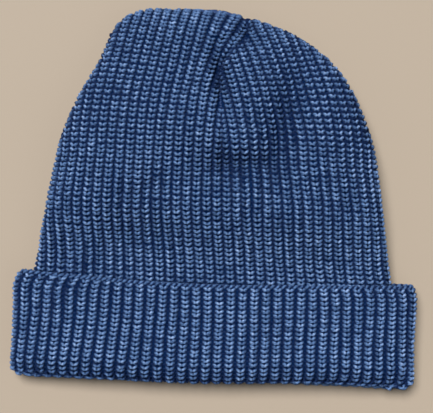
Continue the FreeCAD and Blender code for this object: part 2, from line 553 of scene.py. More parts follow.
def rib_pattern(samples):
    """One rib, a knit and a purl loop, as samples of (across in ribs, up, forward)."""
    half = knit_loop + [(-x, y, z) for x, y, z in knit_loop[-2:0:-1]]
    p = np.array(half + [(x + 0.5, y, -z) for x, y, z in half])
    count = len(p)
    dense = 40
    out = []
    for i in range(count):
        p0, p1, p2, p3 = [p[(i + k - 1) % count] + [(i + k - 1) // count, 0, 0] for k in range(4)]
        for j in range(dense):
            t = j / dense
            out.append(0.5 * (2 * p1 + (p2 - p0) * t + (2 * p0 - 5 * p1 + 4 * p2 - p3) * t * t
                              + (3 * p1 - p0 - 3 * p2 + p3) * t ** 3))
    out = np.array(out + [out[0] + [1, 0, 0]])
    gap = np.linalg.norm(np.diff(out, axis=0) * np.array(stitch_shape), axis=1)
    arc = np.concatenate([[0.0], np.cumsum(gap)])
    at = np.linspace(0, arc[-1], samples, endpoint=False)
    return np.stack([np.interp(at, arc, out[:, k]) for k in range(3)], axis=1)


pattern = rib_pattern(2 * per_wale)
print("samples in a rib", len(pattern))

# %% [markdown]
# ## Spinning the yarn
#
# A course is a path; the yarn is a tube along it. A Blender curve with a round bevel would
# make such a tube, but thousands of loops are quicker to build as one mesh from arrays. The
# ring of points that makes the tube has to travel round tight bends without twisting, so
# each ring is turned from the last one by two reflections, which is the usual way to carry a
# frame along a curve.

# %% Directions square to a path
sides = 6


def carried_frames(paths):
    """Two directions square to each path at each of its points, with no twist."""
    ahead = np.roll(paths, -1, axis=1)
    behind = np.roll(paths, 1, axis=1)
    ahead[:, -1] = paths[:, -1]
    behind[:, 0] = paths[:, 0]
    tangent = ahead - behind
    tangent /= np.maximum(np.linalg.norm(tangent, axis=2, keepdims=True), 1e-12)
    across_path = np.cross(tangent[:, 0], [0.31, 0.17, 0.93])
    across_path /= np.linalg.norm(across_path, axis=1, keepdims=True)
    first = np.zeros_like(paths)
    first[:, 0] = across_path
    for i in range(paths.shape[1] - 1):
        step = paths[:, i + 1] - paths[:, i]
        size = np.maximum((step * step).sum(1, keepdims=True), 1e-18)
        r = first[:, i] - 2 / size * (step * first[:, i]).sum(1, keepdims=True) * step
        t = tangent[:, i] - 2 / size * (step * tangent[:, i]).sum(1, keepdims=True) * step
        turn = tangent[:, i + 1] - t
        size = np.maximum((turn * turn).sum(1, keepdims=True), 1e-18)
        r = r - 2 / size * (turn * r).sum(1, keepdims=True) * turn
        first[:, i + 1] = r / np.maximum(np.linalg.norm(r, axis=1, keepdims=True), 1e-12)
    second = np.cross(tangent, first)
    return first, second


straight = np.array([[[0.0, 0.0, 0.0], [0.0, 1.0, 0.0], [0.0, 2.0, 0.0]]])
print("square to a straight path", carried_frames(straight)[0][0, 0].round(2))

# %% Rings round a path, kept above the table
lowest_yarn = -0.7 * mm
press_depth = 3.2 * mm


def pressed(z):
    """Levels near the table, squeezed up so that no yarn sinks into it."""
    share = (z - lowest_yarn) / (press_depth - lowest_yarn)
    return np.where(z < press_depth, yarn_radius + share * (press_depth - yarn_radius), z)


def yarn_rings(paths, radius):
    """The rings of points round every path, path after path."""
    longest = max(len(p) for p in paths)
    padded = np.stack([np.concatenate([p, np.repeat(p[-1:], longest - len(p), axis=0)]) for p in paths])
    first, second = carried_frames(padded)
    turn = 2 * np.pi * np.arange(sides) / sides
    sideways = np.cos(turn)[:, None] * first[:, :, None, :] + np.sin(turn)[:, None] * second[:, :, None, :]
    tube = padded[:, :, None, :] + radius * sideways
    return np.concatenate([tube[i, :len(p)].reshape(-1, 3) for i, p in enumerate(paths)])


print("a yarn", 2 * yarn_radius / mm, "mm thick has rings of", sides, "points")


# %% The faces of the tubes
def tube_faces(paths):
    """Side faces, end caps, and how far along and around the yarn each corner is."""
    quads = []
    caps = []
    twist = []
    start = 0
    ring = np.arange(sides)
    for p in paths:
        n = len(p)
        a = start + np.arange(n - 1)[:, None] * sides + ring[None, :]
        b = start + np.arange(n - 1)[:, None] * sides + (ring[None, :] + 1) % sides
        quads.append(np.stack([a, b, b + sides, a + sides], axis=2).reshape(-1, 4))
        length = np.concatenate([[0.0], np.cumsum(np.linalg.norm(np.diff(p, axis=0), axis=1))])
        u0 = np.repeat(length[:-1], sides) / mm
        u1 = np.repeat(length[1:], sides) / mm
        v0 = np.tile(ring / sides, n - 1)
        v1 = v0 + 1 / sides
        twist.append(np.stack([u0, v0, u0, v1, u1, v1, u1, v0], axis=1).reshape(-1, 2))
        caps.append(start + ring[::-1])
        caps.append(start + (n - 1) * sides + ring)
        start += n * sides
    return np.concatenate(quads), np.array(caps), np.concatenate(twist)


def tube_mesh(name, coords, quads, caps):
    """A mesh filled from arrays, which is far quicker than adding its faces one by one."""
    mesh = bpy.data.meshes.new(name)
    corners = np.concatenate([quads.ravel(), caps.ravel()])
    starts = np.concatenate([np.arange(len(quads)) * 4, len(quads) * 4 + np.arange(len(caps)) * sides])
    mesh.vertices.add(len(coords))
    mesh.vertices.foreach_set("co", coords.ravel())
    mesh.loops.add(len(corners))
    mesh.loops.foreach_set("vertex_index", corners.astype(np.int32))
    mesh.polygons.add(len(starts))
    mesh.polygons.foreach_set("loop_start", starts.astype(np.int32))
    mesh.update(calc_edges=True)
    mesh.validate()
    mesh.polygons.foreach_set("use_smooth", np.ones(len(starts), dtype=bool))
    return mesh


sample_path = np.array([[0.0, 0.0, 0.0], [0.0, 0.001, 0.0], [0.0, 0.002, 0.0]])
print("a path of three points makes", len(tube_faces([sample_path])[0]), "side faces")

# %% [markdown]
# ## Maps on the yarn
#
# A map ties each corner of a face to a place on a flat sheet. The yarn has two. "twist" says
# how far along the yarn and how far round it a point is, which is what ply grooves follow.
# "OFBake" lays the unrolled yarn out without overlaps, as text fills a page, so that the
# finish can be baked into a picture. Blender's Smart UV Project could make the second one,
# but it can take minutes on a mesh with this many small faces.


# %% A page for baking, and adding maps
def bake_map(quad_count, cap_count):
    """Lays the unrolled yarn out in lines that fill a square, as text fills a page."""
    rings = quad_count // sides
    lines = max(1, int(math.sqrt(rings / 6)))
    per_line = math.ceil(rings / lines)
    lines = math.ceil(rings / per_line) + 1
    ring = np.repeat(np.arange(rings), sides)
    side = np.tile(np.arange(sides), rings)
    u0 = (ring % per_line) / per_line
    u1 = u0 + 1 / per_line
    v0 = (ring // per_line + 0.04 + 0.92 * side / sides) / lines
    v1 = v0 + 0.92 / sides / lines
    quads = np.stack([u0, v0, u0, v1, u1, v1, u1, v0], axis=1).reshape(-1, 2)
    turn = 2 * np.pi * np.arange(sides) / sides
    radius = 0.3 / lines
    middle_u = (np.arange(cap_count) + 0.5) / max(cap_count, 1)
    cap_u = middle_u[:, None] + min(radius, 0.4 / max(cap_count, 1)) * np.cos(turn)[None, :]
    cap_v = (lines - 0.5) / lines + radius * np.sin(turn)[None, :] + 0 * cap_u
    return np.concatenate([quads, np.stack([cap_u, cap_v], axis=2).reshape(-1, 2)])


def add_map(mesh, name, places):
    """A named map, from one place for each corner of the mesh."""
    layer = mesh.uv_layers.new(name=name)
    layer.data.foreach_set("uv", places.astype(np.float32).ravel())


print("the page for 100 rings and 2 caps holds", len(bake_map(100 * sides, 2)), "corners")


# %% One piece of yarn
def yarn_object(name, courses, radius, material):
    """One mesh of yarn along a list of paths. A path's fourth column is its painted shade."""
    paths = [np.column_stack([c[:, :2], pressed(c[:, 2])]) for c in courses]
    shade_depths = [c[:, 3] if c.shape[1] > 3 else np.zeros(len(c)) for c in courses]
    quads, caps, twist = tube_faces(paths)
    mesh = tube_mesh(name, yarn_rings(paths, radius), quads, caps)
    add_map(mesh, "twist", np.concatenate([twist, np.zeros((caps.size, 2))]))
    add_map(mesh, "OFBake", bake_map(len(quads), len(caps)))
    # each point's painted shade, kept on the mesh for the material
    depth_shade_layer = mesh.attributes.new("depth_shade", "FLOAT", "POINT")
    depth_shade_layer.data.foreach_set("value", np.repeat(np.concatenate(shade_depths), sides).astype(np.float32))
    mesh.materials.append(material)
    piece = bpy.data.objects.new(name, mesh)
    bpy.context.scene.collection.objects.link(piece)
    return piece


def belongs(piece, body_name, node):
    """Says what a piece moves with and what it stands for."""
    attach(piece, body_name)
    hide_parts(node)
    print(piece.name, "rides on", body_name, "with", len(piece.data.polygons), "faces")


# %% [markdown]
# ## The yarn's finish
#
# The yarn is spun from five soft plies of heathered navy, lighter where its fibres stand
# up. Its plies show as slanting grooves, drawn from the map that runs along and around each
# tube; a picture of yarn could do that, but a formula stays sharp at any distance. The grooves
# are also painted darker, as painted shade. Wool has no gloss but a faint pale sheen at a low
# angle, so the shader gets a high roughness and a little sheen.
#
# Deep in the fabric the yarn looks darker and richer than on top, because less light reaches
# it and light bounces from fibre to fibre before it comes out; that shade is painted into its
# colour. Each stitch carries a number, its depth shade, that is 0 where it stands proud and 1
# where it is deep, with painted shade for the hollows, the fold and the cast-on cord added. It
# pulls the colour towards the dark end of a three-colour ramp, whose darkest colour is painted shade.

# %% Small helpers for building materials
def new_material(name):
    """A material with one matt shader, and the tools to add nodes to it."""
    material = bpy.data.materials.new(name)
    material.use_nodes = True
    nodes = material.node_tree.nodes
    return material, nodes, material.node_tree.links, nodes["Principled BSDF"]


def noise_node(nodes, links, scale, detail):
    """Noise that is fixed to the object, as a socket."""
    place = nodes.new("ShaderNodeTexCoord")
    noise = nodes.new("ShaderNodeTexNoise")
    noise.inputs["Scale"].default_value = scale
    noise.inputs["Detail"].default_value = detail
    links.new(place.outputs["Object"], noise.inputs["Vector"])
    return noise.outputs[0]


def ranged(nodes, links, value, old, new):
    """A value carried from an old range to a new one, and held inside it."""
    node = nodes.new("ShaderNodeMapRange")
    node.inputs["From Min"].default_value = old[0]
    node.inputs["From Max"].default_value = old[1]
    node.inputs["To Min"].default_value = new[0]
    node.inputs["To Max"].default_value = new[1]
    links.new(value, node.inputs["Value"])
    return node.outputs[0]


def combined(nodes, links, operation, *values):
    """A Math node with sockets or plain numbers as its inputs."""
    node = nodes.new("ShaderNodeMath")
    node.operation = operation
    for slot, value in zip(node.inputs, values):
        if isinstance(value, (int, float)):
            slot.default_value = value
        else:
            links.new(value, slot)
    return node.outputs[0]


def ramped_colours(nodes, links, factor, *colours):
    """A colour that runs evenly through a list of colours."""
    node = nodes.new("ShaderNodeValToRGB")
    stops = node.color_ramp.elements
    while len(stops) < len(colours):
        stops.new(0.5)
    for i, colour in enumerate(colours):
        stops[i].position = i / (len(colours) - 1)
        stops[i].color = (*colour, 1.0)
    links.new(factor, node.inputs["Fac"])
    return node.outputs["Color"]


print("helpers for materials are ready")

# %% The grooves of the plies
plies = 5
fibre_grooves = 14


def ply_and_strand(nodes, links, ply_pitch):
    """Two waves that wind round the yarn: one for each ply, and finer ones for fibres."""
    where = nodes.new("ShaderNodeUVMap")
    where.uv_map = "twist"
    split = nodes.new("ShaderNodeSeparateXYZ")
    links.new(where.outputs[0], split.inputs[0])
    along = combined(nodes, links, "MULTIPLY", split.outputs[0], 2 * math.pi / ply_pitch)
    turned = combined(nodes, links, "MULTIPLY_ADD", split.outputs[1], 2 * math.pi * plies, along)
    finer = combined(nodes, links, "MULTIPLY", turned, fibre_grooves / plies)
    ply = ranged(nodes, links, combined(nodes, links, "SINE", turned), (-1, 1), (0, 1))
    strand = ranged(nodes, links, combined(nodes, links, "SINE", finer), (-1, 1), (0, 1))
    return ply, strand


print("plies", plies, "and fibre grooves", fibre_grooves)

# %% The colour and the relief of the wool
# how far the painted shade of deep yarn darkens its colour, from proud to deepest
depth_shade_range = (0.0, 0.74)
deepest_shade = 0.05
even_tone = 0.20
# the ply grooves are painted darker, which is painted shade
ply_groove_shade = 0.30
heather_tone = 0.56
heather_scale = 480.0
patch_scale = 38.0
fibre_scale = 2600.0
fibre_relief = 0.30
strand_relief = 0.12
relief = 0.3 * mm


def yarn_colour(nodes, links, ply, colours):
    """Heathered wool: plies, flecks and wide patches, with painted shade in the ply grooves and wherever the
    yarn lies deep.
    """
    heather = ranged(nodes, links, noise_node(nodes, links, heather_scale, 4.0), (0.34, 0.70), (0, 1))
    patches = ranged(nodes, links, noise_node(nodes, links, patch_scale, 2.0), (0.3, 0.7), (0.86, 1.12))
    depth_shade = nodes.new("ShaderNodeAttribute")
    depth_shade.attribute_name = "depth_shade"
    # painted shade: the deeper the yarn lies, the darker its colour
    proud = ranged(nodes, links, depth_shade.outputs["Fac"], depth_shade_range, (1, deepest_shade))
    # painted shade in the ply grooves
    grain = combined(nodes, links, "MULTIPLY_ADD", ply, ply_groove_shade, even_tone)
    grain = combined(nodes, links, "MULTIPLY_ADD", heather, heather_tone, grain)
    tone = combined(nodes, links, "MULTIPLY", grain, proud)
    tone = combined(nodes, links, "MULTIPLY", tone, patches)
    return ramped_colours(nodes, links, tone, *colours)


def yarn_relief(nodes, links, ply, strand):
    """Small bumps: the plies, with fibres over them."""
    fibres = noise_node(nodes, links, fibre_scale, 3.0)
    height = combined(nodes, links, "MULTIPLY_ADD", fibres, fibre_relief, ply)
    height = combined(nodes, links, "MULTIPLY_ADD", strand, strand_relief, height)
    bump = nodes.new("ShaderNodeBump")
    bump.inputs["Strength"].default_value = 1.0
    bump.inputs["Distance"].default_value = relief
    links.new(height, bump.inputs["Height"])
    return bump.outputs[0]


print("a fleck of the heather is about", round(1000 / heather_scale, 1), "mm across")


# %% The yarn materials
def yarn_material(name, colours, ply_pitch):
    """Plied wool: slanting ply grooves, heathered colour and a soft sheen."""
    material, nodes, links, shader = new_material(name)
    shader.inputs["Roughness"].default_value = 0.9
    shader.inputs["Specular IOR Level"].default_value = 0.04
    shader.inputs["Sheen Weight"].default_value = 0.03
    shader.inputs["Sheen Roughness"].default_value = 0.4
    shader.inputs["Sheen Tint"].default_value = (0.55, 0.68, 1.0, 1.0)
    ply, strand = ply_and_strand(nodes, links, ply_pitch)
    links.new(yarn_colour(nodes, links, ply, colours), shader.inputs["Base Color"])
    links.new(yarn_relief(nodes, links, ply, strand), shader.inputs["Normal"])
    return material


# the darkest navy, at the foot of both ramps, is painted shade reached where the yarn lies deep; the others
# are the wool's own colours
navy_shade = (0.0004, 0.0060, 0.040)
navy_middle = (0.090, 0.176, 0.372)
navy_light = (0.320, 0.450, 0.735)
navy_seam = (0.050, 0.090, 0.220)
rib_yarn = yarn_material("rib_yarn", (navy_shade, navy_middle, navy_light), 1.5)
seam_yarn = yarn_material("seam_wool", (navy_shade, navy_seam), 1.3)
print("yarn materials made:", rib_yarn.name, seam_yarn.name)

# %% [markdown]
# ## Knitting
#
# Each course is laid over the cloth: every sample of the stitch pattern becomes a place
# on the surface, a little above or below it. An Array modifier could repeat a stitch too,
# but then every stitch would be the same. Hand-feel comes from unevenness, so stitches are
# shifted and swollen by a few tenths of a millimetre, and whole wales wander a little, from
# seeded random tables that are the same each time. Near a sewn edge the loops are pulled
# flat, which is what makes a seam read as a line.

# %% Tables of unevenness
random = np.random.default_rng(7)
uneven = random.normal(0, 1, (240, wales * 2 + 8, 3))
wander = random.normal(0, 1, (240, wales * 2 + 8))
for axis, reach in ((0, 9), (1, 3)):
    window = np.hanning(2 * reach + 3)[1:-1]
    wander = np.apply_along_axis(lambda line: np.convolve(line, window, mode="same"), axis, wander)
wander /= wander.std()
print("uneven stitches in the table", uneven.shape[:2])

# %% Laying one course on a cloth
sideways = 0.045
wandering = 0.14
up_and_down = 0.06
swelling = 0.09
wander_reach = 6.0


def fade(distance, reach):
    """0 at a sewn edge and 1 past a reach from it, counted in wales."""
    return ease(np.maximum(distance, 0) / reach)


def lay_course(cloth, row, q_from, q_to, share_of, pulled, course_id):
    """One course from wale q_from to q_to, as points and the painted shade of each."""
    first = math.ceil(q_from * per_wale)
    last = math.floor(q_to * per_wale)
    k = np.arange(first, last + 1)
    rib = np.floor((k - 0.5 * per_wale) / (2 * per_wale)).astype(int)
    part = (k - per_wale // 2) % (2 * per_wale)
    straight_q = k / per_wale
    x = pattern[part, 0]
    x = x + cloth.knit_spread * np.sin(2 * np.pi * x) / (2 * np.pi)
    loop_q = 2 * (rib + x) + 1
    up = pattern[part, 1]
    forward = pattern[part, 2]
    wale = np.floor(straight_q + 0.5).astype(int)
    wobble = uneven[course_id % 240, wale % (wales * 2)]
    f = pulled(straight_q)
    drift = np.interp(straight_q % (wales * 2), np.arange(wales * 2), wander[course_id % 240, :wales * 2])
    drift = drift * fade(np.minimum(straight_q - q_from, q_to - straight_q), wander_reach)
    q = straight_q + (loop_q - straight_q) * f + (sideways * wobble[:, 0] + wandering * drift) * f
    u = up * (0.25 + 0.75 * f) + up_and_down * wobble[:, 1] * f
    wave = -np.cos(np.pi * q) * rib_wave
    lift = (forward * loop_depth * (1 + swelling * wobble[:, 2]) + wave) * f
    level = row(q) if callable(row) else row
    grid_row = (level + u) * sub
    path, painted_shade = cloth.at(grid_row, share_of(grid_row, q), lift)
    # painted shade: loops that lie deep, and loops in the drape's hollows, get a darker colour
    depth_shade = np.clip(1 - lift / (loop_depth + rib_wave) + painted_shade, 0, 1)
    return np.column_stack([path, depth_shade])


print("stitches shift sideways by", sideways, "and wander by", wandering, "wales")

# %% Courses that run all the way round
edge_reach = 0.8


def whole_share(grid_row, q):
    """How far round a place is, when the whole row is one run of wales."""
    return q / wales


def pulled_at_seam(q):
    """How much of its full form a stitch has: less in the two wales that the seam takes up."""
    return 0.6 + 0.4 * fade(np.minimum(q, wales - q), edge_reach)


def knit_whole_courses(cloth, rows, name, per_piece, material):
    """Courses that run all the way round, in pieces of a few courses each."""
    made = []
    for start in range(0, len(rows), per_piece):
        paths = []
        for row in rows[start:start + per_piece]:
            paths.append(lay_course(cloth, row, 0.0, wales, whole_share, pulled_at_seam, int(row)))
        made.append(yarn_object(f"{name}_{start // per_piece + 1:02d}", paths, yarn_radius, material))
    return made


test_course = lay_course(body, 10, 0.0, wales, whole_share, pulled_at_seam, 10)
test_length = np.linalg.norm(np.diff(test_course[:, :3], axis=0), axis=1).sum()
print("one course takes", round(float(test_length), 2), "m of yarn")

# %% [markdown]
# ## The body
#
# The body is one tube of rib from the mouth to the first decrease. It is knitted in pieces
# of seven courses, because a mesh of moderate size is easier to select, hide and export
# than one that holds the whole hat. Each piece moves with the CAD's body and stands for it.

# %% The body's courses, up to the crown
courses_a_piece = 7
crown_row = int(np.searchsorted(grid_h, crown_start) / sub)
body_pieces = knit_whole_courses(body, list(range(0, crown_row)), "body_courses", courses_a_piece, rib_yarn)
for piece in body_pieces:
    belongs(piece, "body", "body_tube")

# %% [markdown]
# ## The crown
#
# The crown is four sections between four darts. On the two upper sections the wales run on
# up the hat in their own direction and roll over its edge, where the side darts take them.
# So each wale is walked over the bag in small steps: a step along the surface, then back
# onto it, as Blender's Shrinkwrap modifier would pull a point onto a shape. The courses are
# laid over the grid that those walks make.


# %% Finding the bag's surface
top_limit = hat_length - mid - 0.02 * mm


def bag_share(p):
    """How far out a point is, where 1 is the surface and 0 the middle of its section."""
    half, centre, low, high = body_section(np.minimum(p[:, 1], top_limit), mid)
    middle = low + edge_share * (high - low)
    upper = p[:, 2] >= middle
    power = np.where(upper, upper_power, lower_power)
    reach = np.where(upper, high - middle, middle - low)
    across_part = (np.abs(p[:, 0] - centre) / half) ** power
    up_part = (np.abs(p[:, 2] - middle) / reach) ** power
    return (across_part + up_part) ** (1 / power)


def outward(p):
    """The slope of bag_share at each point."""
    probe = 0.01 * mm
    slopes = [(bag_share(p + probe * e) - bag_share(p - probe * e)) / (2 * probe) for e in np.eye(3)]
    return np.stack(slopes, axis=1)


longest_move = 0.6 * mm


def onto_bag(p):
    """The nearest points on the bag's surface."""
    for _ in range(6):
        slope = outward(p)
        size = np.maximum((slope * slope).sum(1), 1e-9)
        move = -((bag_share(p) - 1) / size)[:, None] * slope
        length = np.linalg.norm(move, axis=1, keepdims=True)
        p = p + move * np.minimum(1.0, longest_move / np.maximum(length, 1e-12))
    return p


test_point = onto_bag(np.array([[-0.04, 0.16, 0.03]]))
print("a point near the left crown lands at", (test_point[0] / mm).round(1))

# %% Which way the wales run
# x, y up the hat from the fold, in mm: a wale whose direction the others of its section take
guides = {
    "crown_front_left": [(-50, 126), (-49.5, 145), (-48, 165), (-44, 185), (-40, 205), (-37, 219)],
    "crown_front_right": [(48, 126), (47, 140), (43, 160), (37, 180), (29, 200), (20, 219)],
}
fan_lean = 0.35
fan_x = 8 * mm
fan_reach = 16 * mm
fan_start = 172 * mm
fan_rise = 18 * mm


def guide_lean(name, x, h):
    """How far the wales of a section move across for each step up the hat."""
    xs = np.array([p[0] for p in guides[name]])
    ys = np.array([p[1] for p in guides[name]])
    middles = (ys[1:] + ys[:-1]) / 2 * mm
    lean = np.interp(h, middles, np.diff(xs) / np.diff(ys))
    if name.endswith("left"):
        lean = lean + fan_lean * np.exp(-((x - fan_x) / fan_reach) ** 2) * ease((h - fan_start) / fan_rise)
    return lean


for section_name in guides:
    section_lean = float(guide_lean(section_name, np.array([0.0]), np.array([0.18]))[0])
    print(section_name, "leans", round(section_lean, 2), "near the dart")


# %% Walking wales over the bag
def walk_wales(name, start, steps):
    """Rows of points, each a small step up the wales from the last. start is (n, 3)."""
    p = start.copy()
    heading = np.tile([0.0, 1.0, 0.0], (len(p), 1))
    rows = [p]
    step = body_course / sub
    for _ in range(steps):
        n = outward(p)
        n /= np.linalg.norm(n, axis=1, keepdims=True)
        lean = guide_lean(name, p[:, 0], p[:, 1])
        climb = -(lean * n[:, 0] + n[:, 1]) / np.maximum(n[:, 2], 0.1)
        plain = np.stack([lean, np.ones(len(p)), climb], axis=1)
        plain /= np.linalg.norm(plain, axis=1, keepdims=True)
        heading = heading - (heading * n).sum(1, keepdims=True) * n
        heading /= np.maximum(np.linalg.norm(heading, axis=1, keepdims=True), 1e-9)
        on_top = ease((n[:, 2:3] - 0.15) / 0.4)
        heading = heading * (1 - on_top) + plain * on_top
        heading /= np.linalg.norm(heading, axis=1, keepdims=True)
        p = onto_bag(p + heading * step)
        rows.append(p)
    return np.stack(rows)


walk = walk_wales("crown_front_right", onto_bag(np.array([[0.05, 0.13, 0.03]])), 30)
moved = float(walk[-1, 0, 0] - walk[0, 0, 0])
print("ten courses up, a wale has moved across by", round(moved / mm, 1), "mm")

# %% Places round a row
crown_pitch = body.girth[crown_row * sub] / wales
walked_rows = 53
lead = 1
past_seam = 8
edge_drop = 0.2


def dart_share(name, grid_row):
    """How far round the row a dart lies."""
    if name == "seam":
        return 0 * grid_row
    if name == "end":
        return 0 * grid_row + 1.0
    return np.interp(grid_row, np.arange(body.rows), dart_marks[name])


print("a wale at the crown's start is", round(float(crown_pitch) / mm, 2), "mm wide")


# %% The two upper sections as cloths
def walked_cloth(name, edges):
    """A section's cloth, the wales at its two sides, and which of its points belong to it."""
    g = float(crown_row * sub)
    q_low = math.floor(dart_share(edges[0], g) * wales)
    q_high = math.ceil(dart_share(edges[1], g) * wales) + (past_seam if edges[1] == "end" else 0)
    q = np.linspace(q_low, q_high, (q_high - q_low) * 2 + 1)
    theta = np.linspace(0, 2 * np.pi, 3601)
    h = grid_h[(crown_row - lead) * sub] + 0 * theta
    x, z = around(body_section(h, mid), -theta)
    arc = np.concatenate([[0.0], np.cumsum(np.hypot(np.diff(x), np.diff(z)))])
    upper = theta >= np.pi
    at_seam = np.interp(seam_x(h[0]), x[upper], arc[upper])
    wanted = (at_seam + q / wales * arc[-1]) % arc[-1]
    start = np.stack([np.interp(wanted, arc, x), h[0] + 0 * q, np.interp(wanted, arc, z)], axis=1)
    plan = walk_wales(name, onto_bag(start), walked_rows * sub)
    low, high = body_section(np.minimum(plan[..., 1], top_limit), mid)[2:]
    middle = low + edge_share * (high - low)
    from_seam = plan[..., 0] - seam_x(plan[..., 1])
    own_side = from_seam <= 0 if name.endswith("left") else from_seam >= 0
    on_bag = np.abs(bag_share(plan.reshape(-1, 3)).reshape(plan.shape[:2]) - 1) < 0.05
    below_top = plan[..., 1] < hat_length - mid - 0.3 * mm
    inside = (plan[..., 2] >= middle - edge_drop * (middle - low)) & own_side & on_bag & below_top
    sine = (np.clip(plan[..., 2] - middle, 0, None) / (high - middle)) ** (upper_power / 2)
    points = plan.copy()
    points[..., 1] += fold_y
    upper_layer = ease(sine / 0.5)
    points[..., 2] += drape(plan[..., 0], plan[..., 1]) * upper_layer
    # painted shade in the drape's hollows, on the upper layer only
    painted_shade = hollow_shade(plan[..., 0], plan[..., 1]) * upper_layer
    return Cloth(points, None, painted_shade, closed=False, knit_spread=body_spread), q_low, q_high, inside


def longest_runs(mask):
    """The first and last index of each unbroken run of true values."""
    edges = np.flatnonzero(np.diff(np.concatenate([[0], mask.astype(int), [0]])))
    return list(zip(edges[::2], edges[1::2] - 1))


print("runs in 0110111:", [tuple(map(int, run)) for run in longest_runs(np.array([0, 1, 1, 0, 1, 1, 1]) > 0)])

# %% Knitting the two upper sections
course_tilt = {"crown_front_left": 0.12, "crown_front_right": 0.20}
tilt_rows = 24
shortest_run = 1.5


def knit_walked_section(name, edges):
    """The courses of an upper section, over the cloth of its walked wales."""
    cloth, q_low, q_high, inside = walked_cloth(name, edges)
    tilt = course_tilt[name]
    paths = []

    def share_of(grid_row, q):
        return np.clip((q - q_low) / (q_high - q_low), 0, 0.9999)

    for row in range(0, walked_rows - 2 - lead):
        ramp = ease(row / tilt_rows)

        def tilted(q):
            away = wales - q if name.endswith("left") else q - q_low
            return row + lead + tilt * away * ramp

        q = np.arange(q_low, q_high, 0.25)
        g = np.clip(tilted(q) * sub, 0, cloth.rows - 1.01)
        c = np.clip((q - q_low) * 2, 0, cloth.cols - 1)
        mask = inside[np.round(g).astype(int), np.round(c).astype(int)] & (tilted(q) * sub < cloth.rows - 4)
        for first, last in longest_runs(mask):
            start, end = q[first], q[last]
            if end - start < shortest_run:
                continue

            def pulled(at):
                return 0.62 + 0.38 * fade(np.minimum(at - start, end - at), 0.8)

            paths.append(lay_course(cloth, tilted, start, end, share_of, pulled, row + crown_row))
    piece = yarn_object(f"{name}_courses", paths, yarn_radius, rib_yarn)
    belongs(piece, "body", name)
    return piece


crown_pieces = [
    knit_walked_section("crown_front_right", ("seam", "right")),
    knit_walked_section("crown_front_left", ("left", "end")),
]


# %% [markdown]
# ## The two sections underneath
#
# The two sections that the hat lies on are hardly seen, so they needn't be walked. Their
# courses stay level over the body's own grid, each a wale or so shorter than the last, and
# their wales are lost evenly into the darts on both sides.


# %% Knitting the two lower sections
def girth_at(grid_row):
    """How far it is round the body at a row."""
    return np.interp(grid_row, np.arange(body.rows), body.girth)


def knit_level_section(name, edges, last_row):
    """The courses of a lower section, each level, from dart to dart."""
    start_grid = float(crown_row * sub)
    q_middle = (dart_share(edges[0], start_grid) + dart_share(edges[1], start_grid)) / 2 * wales
    paths = []
    for row in range(crown_row, last_row):
        g = float(row * sub)
        half = (dart_share(edges[1], g) - dart_share(edges[0], g)) / 2 * girth_at(g) / crown_pitch

        def share_of(grid_row, q):
            centre = (dart_share(edges[0], grid_row) + dart_share(edges[1], grid_row)) / 2
            return centre + (q - q_middle) * crown_pitch / girth_at(grid_row)

        def pulled(q):
            return 0.5 + 0.5 * fade(half - np.abs(q - q_middle), 1.0)

        if half > 0.5:
            ends = (q_middle - half, q_middle + half)
            paths.append(lay_course(body, row, *ends, share_of, pulled, row))
    piece = yarn_object(f"{name}_courses", paths, yarn_radius, rib_yarn)
    belongs(piece, "body", name)
    return piece


crown_pieces += [
    knit_level_section("crown_back_right", ("right", "back"), body_rows),
    knit_level_section("crown_back_left", ("back", "left"), body_rows),
]

# %% [markdown]
# ## The cuff and its fold
#
# The fold is the part that shows how thick a knit is: the ribs go round it like ropes over a
# rail. It is knitted on the same cloth as the cuff, so that no wale breaks between them, but
# in a piece of its own, since it stands for a part of its own.

# %% The cuff and its fold
turned_rows = list(range(0, fold_rows + 1))
upright_rows = list(range(fold_rows + 1, fold_rows + cuff_rows))
fold_pieces = knit_whole_courses(cuff, turned_rows, "cuff_fold_courses", 5, rib_yarn)
for piece in fold_pieces:
    belongs(piece, "cuff", "cuff_fold")
cuff_pieces = knit_whole_courses(cuff, upright_rows, "cuff_courses", courses_a_piece, rib_yarn)
for piece in cuff_pieces:
    belongs(piece, "cuff", "cuff_turn_up")

# %% [markdown]
# ## Seams and darts
#
# The hat is sewn up with its own yarn, which crosses from one edge to the other once each
# course and pulls the edges down between them. So a seam is a thin zigzag of darker yarn,
# sunk below the loops beside it. It could be a groove in the mesh, but a real run of yarn
# also shows from the side and at the dart, where the ribs meet at an angle.

# %% A sewn run
seam_radius = 0.75 * mm


def run_along(cloth, rows, share_of, name, lift, swing):
    """A sewn run: the yarn crosses a seam from side to side once each course."""
    t = np.arange(0, (rows[-1] - rows[0]) * 8 + 1) / 8
    side = np.sin(2 * np.pi * t)
    depth = np.cos(4 * np.pi * t)
    grid_row = (rows[0] + t) * sub
    girth = np.interp(grid_row, np.arange(cloth.rows), cloth.girth)
    share = share_of(grid_row) + side * swing * crown_pitch / girth
    path, _ = cloth.at(grid_row, share, lift + 0.35 * mm * depth)
    return yarn_object(name, [path], seam_radius, seam_yarn)


def at_the_seam(grid_row):
    """The centre seam and the front dart are where the counting of wales starts."""
    return 0 * grid_row


cuff_end = fold_rows + cuff_rows
centre_seam = run_along(body, (0, crown_row), at_the_seam, "centre_seam_stitches", -1.1 * mm, 0.45)
belongs(centre_seam, "body", "centre_seam")
cuff_seam = run_along(cuff, (1, cuff_end), at_the_seam, "cuff_seam_stitches", -1.1 * mm, 0.45)
belongs(cuff_seam, "cuff", "cuff_seam")

